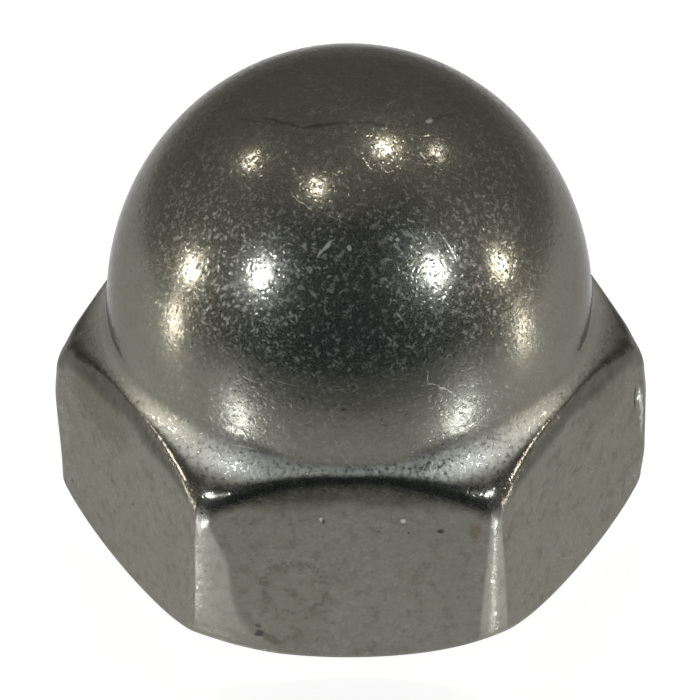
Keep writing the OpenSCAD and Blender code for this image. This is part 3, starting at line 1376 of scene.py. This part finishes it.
class SteelLayers:
    """Layers of the steel's finish, laid one over another in a material's tree."""

    def __init__(self, steel: TumbledSteel, shade: Shade) -> None:
        """Start with what the layers share: places, directions, and the scratches and specks.

        Args:
            steel: The finish.
            shade: Tree to add to.
        """
        self.steel = steel
        self.shade = shade
        self.place = shade.scaled(shade.node("ShaderNodeTexCoord").outputs["Object"], 1 / MM)
        self.grain = shade.map(Wear.GRAIN)
        self.height = shade.part(self.place, 2)
        self.facing = shade.node("ShaderNodeNewGeometry").outputs["Normal"]
        upright = shade.ease(shade.math("ABSOLUTE", shade.part(self.facing, 2)), steel.upright)
        self.flat = shade.product(shade.ease(self.height, steel.flats_end), upright)
        wobble = steel.wobble.stir(shade, self.place)
        self.shaken = shade.vector("ADD", self.place, shade.scaled(wobble, steel.wobble_mm))
        self.pits = steel.pits.lay(shade, self.place)
        self.dashes = steel.dashes.lay(shade, self.place)
        self.strokes = steel.strokes.lay(shade, self.place)
        self.hairs = steel.hairs.lay(shade, self.place)
        self.dots = steel.dots.lay(shade, self.place)
        self.clumps = steel.clumps.lay(shade, self.place)
        self.coarse = steel.coarse.lay(shade, self.place)

    def cover(self, *kinds: Blemish) -> Socket:
        """Add all marks of some kinds.

        Args:
            *kinds: The kinds.

        Returns:
            How much of the marks is at each place, from 0 to 1.
        """
        total: Value = 0.0
        for mark in self.steel.marks:
            if mark.kind in kinds:
                spot = mark.lay(self.shade, self.shaken, self.steel.outline, self.steel.apothem)
                total = self.shade.highest(total, spot)
        return self.shade.math("MINIMUM", total, 1.0)

    def normal(self) -> Socket:
        """Press the relief into the surface, and lean its smallest facets.

        Returns:
            The normal's socket.
        """
        steel, shade = self.steel, self.shade
        relief = shade.sum_up(
            (self.dashes, steel.dashes.depth),
            (self.strokes, steel.strokes.depth),
            (self.hairs, steel.hairs.depth),
            (self.dots, steel.dots.depth),
            (steel.swell.lay(shade, self.place), steel.swell_depth),
            (shade.product(self.coarse, self.grain), steel.grain_depth),
            (self.pits, steel.pits.depth),
        )
        bump = shade.node("ShaderNodeBump", {"Strength": 1.0, "Distance": MM, "Height": relief})
        lean = steel.facets.stir(shade, self.place)
        size = shade.vector("LENGTH", lean)
        few = shade.product(shade.product(size, size, size, size), steel.lean_few)
        gain = shade.math("ADD", steel.lean_all, few)
        grainy = shade.math("ADD", 1.0, shade.product(self.grain, steel.lean_grain))
        leaning = shade.scaled(lean, shade.product(gain, grainy))
        return shade.vector("NORMALIZE", shade.vector("ADD", bump.outputs[0], leaning))

    def flecks(self) -> Socket:
        """Gather the scratches and dots into crowds, by the map of scuffs.

        Returns:
            How flecked each place is, from 0 to 1.
        """
        steel, shade = self.steel, self.shade
        crowd = shade.product(steel.crowds.lay(shade, self.place), steel.gaps.lay(shade, self.place))
        flecks = shade.highest(self.dashes, self.strokes, self.hairs, self.dots, self.clumps)
        return shade.product(flecks, crowd, shade.map(Wear.SCUFFS))

    def colour(self, flecks: Socket, rubs_and_highlights: Socket) -> Socket:
        """Lay the colours over one another: steel, stains, rust, a painted sheen, metal worn bare with
        painted highlights, flecks tinted as painted glints, then dark pits and specks with painted shade and
        a painted dark reflection.

        Args:
            flecks: How flecked each place is.
            rubs_and_highlights: How much of the marks of rubbing, some of them painted highlights, is at
                each place.

        Returns:
            The colour's socket.
        """
        steel, shade = self.steel, self.shade
        # Pits, with the painted dark reflection across the crown
        pits = shade.highest(self.pits, self.cover(Blemish.PIT_AND_DARK_REFLECTION))
        mottle = steel.mottle.lay(shade, self.place)
        clouds = steel.clouds.lay(shade, self.place)
        blotch = steel.blotch.lay(shade, self.place)
        stained = shade.product(shade.ease(clouds, steel.cloudy), steel.cloud_stain)
        mottled = shade.product(shade.ease(mottle, steel.cloudy), steel.mottle_stain)
        stained = shade.math("ADD", stained, mottled)
        patches = shade.product(shade.ease(blotch, steel.patchy), shade.product(self.flat, steel.flat_stain))
        stained = shade.math("ADD", stained, patches)
        stained = shade.math("ADD", stained, self.cover(Blemish.STAIN, Blemish.RING), clamp=True)
        colour = shade.blend(stained, steel.colour, steel.stain)
        colour = shade.blend(self.cover(Blemish.RUST), colour, steel.rust)
        speckled = shade.ease(blotch, steel.speckled)
        # Worn-bare edges, partly painted highlight, and painted highlights on the corner tips
        rubbed_and_highlight = shade.product(shade.map(Wear.RUBBED_AND_HIGHLIGHT), speckled, shade.ease(self.height, steel.rubbed_and_highlight_foot))
        # Painted sheen: the grainy shoulder lighter where it faces up, towards the front
        raised = shade.ease(shade.part(self.facing, 2), steel.raised)
        streaky = shade.ease(self.coarse, steel.streaky)
        painted_sheen = shade.product(shade.map(Wear.PAINTED_SHEEN), raised, streaky)
        colour = shade.blend(painted_sheen, colour, steel.bright)
        colour = shade.blend(rubbed_and_highlight, colour, steel.bare)
        # Marks of rubbing made lighter, some of them painted highlights
        colour = shade.blend(rubs_and_highlights, colour, steel.bright)
        # Flecks tinted lighter and cooler: partly scratches, partly painted glints
        colour = shade.blend(shade.product(flecks, steel.fleck_tint), colour, steel.scuff_and_glint)
        tiny = steel.tiny.lay(shade, self.place)
        dirt_and_shade = shade.highest(shade.product(pits, steel.pit_tint), shade.product(tiny, steel.tiny_tint))
        # Painted shade on the bend over the upper edge, and the darker outer ring of the shoulder
        shade_and_darker_ring = shade.product(shade.map(Wear.SHADE_AND_DARKER_RING), shade.ease(blotch, steel.blotched))
        dirt_and_shade = shade.highest(dirt_and_shade, shade.product(shade_and_darker_ring, steel.darkening_tint))
        return shade.blend(dirt_and_shade, colour, steel.pit_and_painted_dark)

    def roughness(self, flecks: Socket, rubs_and_highlights: Socket) -> Socket:
        """Dull the polish by a fine veil, thicker on the flecks and the grain.

        Args:
            flecks: How flecked each place is.
            rubs_and_highlights: How much of the marks of rubbing, some of them painted highlights, is at
                each place.

        Returns:
            The roughness's socket.
        """
        steel, shade = self.steel, self.shade
        stipple = shade.product(self.grain, shade.ease(self.coarse, steel.stipple))
        fine = steel.fine.lay(shade, self.place)
        hazy = (shade.product(flecks, steel.fleck_haze), shade.product(stipple, steel.stipple_haze))
        veil = shade.ease(shade.math("ADD", fine, shade.math("ADD", *hazy)), steel.veil)
        dull = shade.highest(veil, shade.product(rubs_and_highlights, steel.rub_haze))
        dull = shade.math("MAXIMUM", dull, shade.product(self.grain, steel.grain_haze), clamp=True)
        return shade.math("ADD", steel.polish, shade.product(dull, steel.haze - steel.polish))


@dataclass(frozen=True)
class TableTop:
    """Glossy white table top that keeps the nut's shadow, with painted shade: its colour dims to dark grey
    away from the nut and the lamps.
    """

    near: Colour = (1.0, 1.0, 1.0, 1.0)
    # Painted shade of the table away from the nut
    far: Colour = (0.22, 0.215, 0.205, 1.0)
    glow: float = 0.9
    centre: tuple[float, float, float] = (0.0, 12 * MM, 0.0)
    near_r: float = 24 * MM
    far_r: float = 58 * MM
    stretch: float = 2.3
    roughness: float = 0.36
    ior: float = 3.8
    coat_roughness: float = 0.17
    coat_ior: float = 3.4

    def material(self) -> bpy.types.Material:
        """Make the finish, which glows white near the nut to the eye and in reflections, and fades to its
        painted shade further off.

        Returns:
            The material.
        """
        made, shade = new_material("white_table_top")
        place = shade.vector("SUBTRACT", shade.node("ShaderNodeTexCoord").outputs["Object"], self.centre)
        squeezed = shade.vector("MULTIPLY", place, (1 / self.stretch, 1.0, 1.0))
        distance = shade.vector("LENGTH", squeezed)
        span = self.far_r - self.near_r
        share = shade.math("MULTIPLY", shade.math("SUBTRACT", distance, self.near_r), 1 / span, clamp=True)
        # Painted shade: white near the nut, dark grey beyond the far radius
        colour = shade.blend(share, self.near, self.far)
        path = shade.node("ShaderNodeLightPath")
        seen = shade.math("ADD", path.outputs["Is Camera Ray"], path.outputs["Is Glossy Ray"])
        seen = shade.math("ADD", seen, path.outputs["Is Transmission Ray"], clamp=True)
        glow = shade.product(seen, self.glow)
        shining = shade.blend(glow, BLACK, colour)
        white = shade.node("ShaderNodeEmission", {"Color": shining, "Strength": 1.0})
        gloss = shade.node("ShaderNodeBsdfPrincipled", {
            "Base Color": shade.blend(glow, colour, BLACK),
            "Roughness": self.roughness,
            "IOR": self.ior,
            "Coat Weight": 1.0,
            "Coat Roughness": self.coat_roughness,
            "Coat IOR": self.coat_ior,
        })
        both = shade.node("ShaderNodeAddShader", {0: white.outputs[0], 1: gloss.outputs[0]})
        shade.node("ShaderNodeOutputMaterial", {"Surface": both.outputs[0]})
        return made


@dataclass(frozen=True)
class Lamp:
    """Small round lamp, seen from the nut in a given direction."""

    name: str
    direction: tuple[float, float, float]
    half_angle: float
    radiance: float
    tint: tuple[float, float, float] = (1.0, 1.0, 1.0)

    def build(self, distance: float, aim: Vector) -> bpy.types.Object:
        """Hang the lamp.

        Args:
            distance: How far from the nut it hangs.
            aim: The point that it faces.

        Returns:
            The lamp.
        """
        data = bpy.data.lights.new(self.name, "AREA")
        data.shape = "DISK"
        radius = distance * math.tan(math.radians(self.half_angle))
        data.size = 2 * radius
        data.energy = self.radiance * (math.pi * radius) ** 2
        data.color = self.tint
        lamp = bpy.data.objects.new(self.name, data)
        towards = Vector(self.direction).normalized()
        lamp.location = aim + towards * distance
        lamp.rotation_mode = "QUATERNION"
        lamp.rotation_quaternion = towards.to_track_quat("Z", "Y")
        lamp.visible_camera = False
        bpy.context.scene.collection.objects.link(lamp)
        return lamp


COOL = (0.93, 0.98, 1.0)
WARM = (1.0, 0.94, 0.82)


@dataclass
class Studio:
    """Table, lamps, dim room and camera."""

    aim: Vector
    table_r: float = 0.8
    table_front: float = 0.15
    table_rings: int = 6
    table_spokes: int = 64
    lamp_distance: float = 0.6
    lamps: tuple[Lamp, ...] = (
        Lamp("front_left_lamp", (-0.676, -0.554, 0.485), 4.2, 45.0, COOL),
        Lamp("front_right_lamp", (0.674, -0.536, 0.508), 4.4, 45.0, COOL),
        Lamp("left_lamp", (-0.985, -0.059, 0.160), 3.9, 36.0, WARM),
        Lamp("right_lamp", (0.975, -0.080, 0.206), 3.5, 36.0, WARM),
        Lamp("back_left_lamp", (-0.638, 0.309, 0.706), 2.0, 38.0, WARM),
        Lamp("overhead_lamp", (-0.238, -0.136, 0.962), 2.1, 45.0, WARM),
        Lamp("back_lamp", (0.264, 0.253, 0.931), 2.9, 42.0, WARM),
        Lamp("back_right_lamp", (0.580, 0.348, 0.736), 1.8, 30.0, WARM),
    )

    # Room: greys by direction, dark and cool in front of the nut
    side_grey: Colour = (0.325, 0.318, 0.295, 1.0)
    back_grey: Colour = (0.3, 0.295, 0.28, 1.0)
    front_dark: Colour = (0.06, 0.08, 0.095, 1.0)
    back: Ramp = Ramp(-0.1, 0.8)
    overhead: Ramp = Ramp(0.6, 0.92)
    front_turn: Ramp = Ramp(math.radians(40), math.radians(100), 1.0, 0.0)
    front_top: Ramp = Ramp(math.sin(math.radians(60)), math.sin(math.radians(80)), 1.0, 0.0)
    front_rise: Ramp = Ramp(0.2, 0.7, 1.0, 0.88)

    # Camera: directions from the front flat, distance from the aim, and lens and sensor in millimetres
    camera_elevation: float = math.radians(38.13)
    camera_turn: float = math.radians(0.81)
    camera_roll: float = math.radians(-0.73)
    camera_distance: float = 0.4256
    lens: float = 658.3
    sensor: float = 36.0
    clip: tuple[float, float] = (0.02, 5.0)

    def lay_table(self, finish: TableTop) -> bpy.types.Object:
        """Lay the table top, whose front edge is close in front of the nut.

        Args:
            finish: Its finish.

        Returns:
            The table top.
        """
        rings, spokes = self.table_rings, self.table_spokes
        points = [(0.0, 0.0, 0.0)]
        for i in range(1, rings + 1):
            radius = self.table_r * (i / rings) ** 2
            for k in range(spokes):
                turn = 2 * math.pi * k / spokes
                y = max(radius * math.sin(turn), -self.table_front)
                points.append((radius * math.cos(turn), y, 0.0))
        faces = [(0, 1 + k, 1 + (k + 1) % spokes) for k in range(spokes)]
        faces += [(a, d, c, b) for a, b, c, d in quads(rings, spokes, 1)]
        mesh = bpy.data.meshes.new("table_top")
        mesh.from_pydata(points, [], faces)
        mesh.materials.append(finish.material())
        table = bpy.data.objects.new("table_top", mesh)
        bpy.context.scene.collection.objects.link(table)
        return table

    def light_room(self) -> None:
        """Fill the room: warm grey at the sides, dimmer behind, dark and cool in front."""
        world = bpy.data.worlds.new("dim_room")
        world.use_nodes = True
        bpy.context.scene.world = world
        shade = Shade(world.node_tree)
        towards = shade.vector("NORMALIZE", shade.node("ShaderNodeTexCoord").outputs["Generated"])
        depth = shade.part(towards, 1)
        away = shade.highest(shade.ease(depth, self.back), shade.ease(shade.part(towards, 2), self.overhead))
        room = shade.blend(away, self.side_grey, self.back_grey)
        turn = shade.math("ARCTAN2", shade.part(towards, 0), shade.product(depth, -1.0))
        ahead = shade.ease(shade.math("ABSOLUTE", turn), self.front_turn)
        below_top = shade.ease(shade.part(towards, 2), self.front_top)
        front = shade.product(ahead, below_top, shade.ease(shade.part(towards, 2), self.front_rise))
        grey = shade.blend(front, room, self.front_dark)
        ground = shade.node("ShaderNodeBackground", {"Color": grey, "Strength": 1.0})
        shade.node("ShaderNodeOutputWorld", {"Surface": ground.outputs[0]})

    def set_camera(self) -> bpy.types.Object:
        """Aim the camera down at the nut's front flat.

        Returns:
            The camera.
        """
        elevation, roll = self.camera_elevation, self.camera_roll
        forward = Vector((0.0, math.cos(elevation), -math.sin(elevation)))
        right = Vector((1.0, 0.0, 0.0))
        up = right.cross(forward)
        tilted_right = right * math.cos(roll) + up * math.sin(roll)
        tilted_up = up * math.cos(roll) - right * math.sin(roll)
        axes = Matrix((tilted_right, tilted_up, -forward)).transposed()
        axes = Matrix.Rotation(self.camera_turn, 3, "Z") @ axes
        data = bpy.data.cameras.new("camera")
        data.lens = self.lens
        data.sensor_width = self.sensor
        data.clip_start, data.clip_end = self.clip
        camera = bpy.data.objects.new("camera", data)
        place = self.aim + axes @ Vector((0.0, 0.0, self.camera_distance))
        camera.matrix_world = Matrix.Translation(place) @ axes.to_4x4()
        bpy.context.scene.collection.objects.link(camera)
        bpy.context.scene.camera = camera
        return camera


# Marks on the steel: stains, pits, rust and marks of rubbing, with painted highlights and a painted dark
# reflection among them
MARKS_AND_PAINTED_LIGHT = (
    Mark(Blemish.RUB_AND_HIGHLIGHT, (-99.3, 14.96), (-94.4, 15.38), 0.15, 1.0),
    Mark(Blemish.RUB_AND_HIGHLIGHT, (-88.9, 15.19), (-88.6, 15.19), 0.18, 1.0),
    Mark(Blemish.RUB_AND_HIGHLIGHT, (-115.9, 16.22), (-109.0, 16.05), 0.06, 0.6),
    Mark(Blemish.RUB_AND_HIGHLIGHT, (-109.0, 16.05), (-104.6, 15.98), 0.05, 0.5),
    Mark(Blemish.RUB_AND_HIGHLIGHT, (-70.1, 11.47), (-70.2, 11.02), 0.05, 0.9),
    Mark(Blemish.RUB_AND_HIGHLIGHT, (-70.2, 11.02), (-68.3, 10.89), 0.05, 0.9),
    Mark(Blemish.RUB_AND_HIGHLIGHT, (-68.3, 10.89), (-64.2, 10.37), 0.06, 0.8),
    Mark(Blemish.RUST, (-46.0, 13.64), (-41.9, 13.43), 0.1, 0.8),
    Mark(Blemish.RUB_AND_HIGHLIGHT, (-21.4, 16.94), (-19.0, 16.94), 0.16, 0.9),
    # These five marks draw a dark wavy line across the crown: a painted dark reflection, not pits
    Mark(Blemish.PIT_AND_DARK_REFLECTION, (-172.2, 16.63), (-150.0, 17.04), 0.13, 0.4),
    Mark(Blemish.PIT_AND_DARK_REFLECTION, (-164.3, 16.93), (-131.3, 17.18), 0.14, 0.55),
    Mark(Blemish.PIT_AND_DARK_REFLECTION, (-131.3, 17.18), (-91.7, 17.33), 0.16, 0.6),
    Mark(Blemish.PIT_AND_DARK_REFLECTION, (-91.7, 17.33), (-39.1, 17.1), 0.16, 0.55),
    Mark(Blemish.PIT_AND_DARK_REFLECTION, (-39.1, 17.1), (-3.1, 16.62), 0.12, 0.35),
    Mark(Blemish.STAIN, (-168.0, 6.4), (-157.0, 6.5), 2.6, 0.8),
    Mark(Blemish.STAIN, (-12.0, 6.3), (-20.0, 6.5), 2.2, 0.5),
    Mark(Blemish.PIT_AND_DARK_REFLECTION, (-174.6, 1.79), (-174.4, 1.79), 0.16, 0.8),
    Mark(Blemish.PIT_AND_DARK_REFLECTION, (-157.3, 3.81), (-157.1, 3.81), 0.16, 0.8),
    Mark(Blemish.PIT_AND_DARK_REFLECTION, (-147.6, 3.79), (-147.5, 3.79), 0.1, 0.7),
    Mark(Blemish.PIT_AND_DARK_REFLECTION, (-38.6, 6.78), (-38.4, 6.78), 0.12, 0.7),
    Mark(Blemish.PIT_AND_DARK_REFLECTION, (-70.8, 5.78), (-70.4, 5.78), 0.2, 1.0),
    Mark(Blemish.RUB_AND_HIGHLIGHT, (-78.3, 6.2), (-78.0, 6.2), 0.14, 1.0),
    Mark(Blemish.RUB_AND_HIGHLIGHT, (-96.3, 6.3), (-96.1, 6.3), 0.14, 0.9),
    Mark(Blemish.PIT_AND_DARK_REFLECTION, (-95.6, 6.2), (-95.5, 6.2), 0.12, 0.8),
    Mark(Blemish.RUST, (-64.2, 5.9), (-63.8, 5.5), 0.4, 0.6),
    Mark(Blemish.PIT_AND_DARK_REFLECTION, (-109.5, 1.5), (-109.3, 1.48), 0.3, 0.9),
    Mark(Blemish.PIT_AND_DARK_REFLECTION, (-109.9, 1.85), (-109.7, 1.8), 0.16, 0.7),
    Mark(Blemish.STAIN, (-108.4, 1.4), (-105.6, 1.05), 0.3, 1.0),
    Mark(Blemish.RING, (-101.9, 3.39), (-101.9, 3.39), 2.1, 0.9),
    Mark(Blemish.RUB_AND_HIGHLIGHT, (-2.1, 5.28), (-1.9, 3.53), 0.14, 0.8),
    # These two marks light the upper part of the two front upright edges: painted highlights
    Mark(Blemish.RUB_AND_HIGHLIGHT, (-120.0, 5.5), (-120.0, 6.5), 0.16, 0.8),
    Mark(Blemish.RUB_AND_HIGHLIGHT, (-60.0, 5.5), (-60.0, 6.5), 0.14, 0.7),
)


def main() -> None:
    """Build the nut to the model's sizes, then the table, the lamps and the camera, logging each."""
    logging.basicConfig(level=logging.INFO, format="%(name)s: %(message)s")
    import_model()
    cad_low, cad_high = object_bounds()
    across_flats = cad_high.y - cad_low.y
    outline = TurnedOutline(total_height=cad_high.z)

    nut = CapNut(
        bar=HexagonBar(across_flats, outline.hex_height),
        outline=outline,
        hole=TappedHole(),
        dings=(
            Ding(angle=-3.0, height=5.0 * MM, length=1.0 * MM, width=0.3 * MM, depth=0.12 * MM),
        ),
    )
    steel = TumbledSteel(outline, across_flats / 2, MARKS_AND_PAINTED_LIGHT)
    skin = nut.build(steel.material())
    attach(skin, "root")
    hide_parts("cap_nut")
    LOG.info("%s: %d faces", skin.name, len(skin.data.polygons))

    studio = Studio(aim=Vector((0.0, 0.0, 6.66 * MM)))
    table = studio.lay_table(TableTop())
    LOG.info("%s laid", table.name)
    for lamp in studio.lamps:
        LOG.info("%s hung", lamp.build(studio.lamp_distance, studio.aim).name)
    studio.light_room()
    LOG.info("%s aimed", studio.set_camera().name)
    bpy.context.scene.view_settings.view_transform = "Standard"


if __name__ == "__main__":
    main()
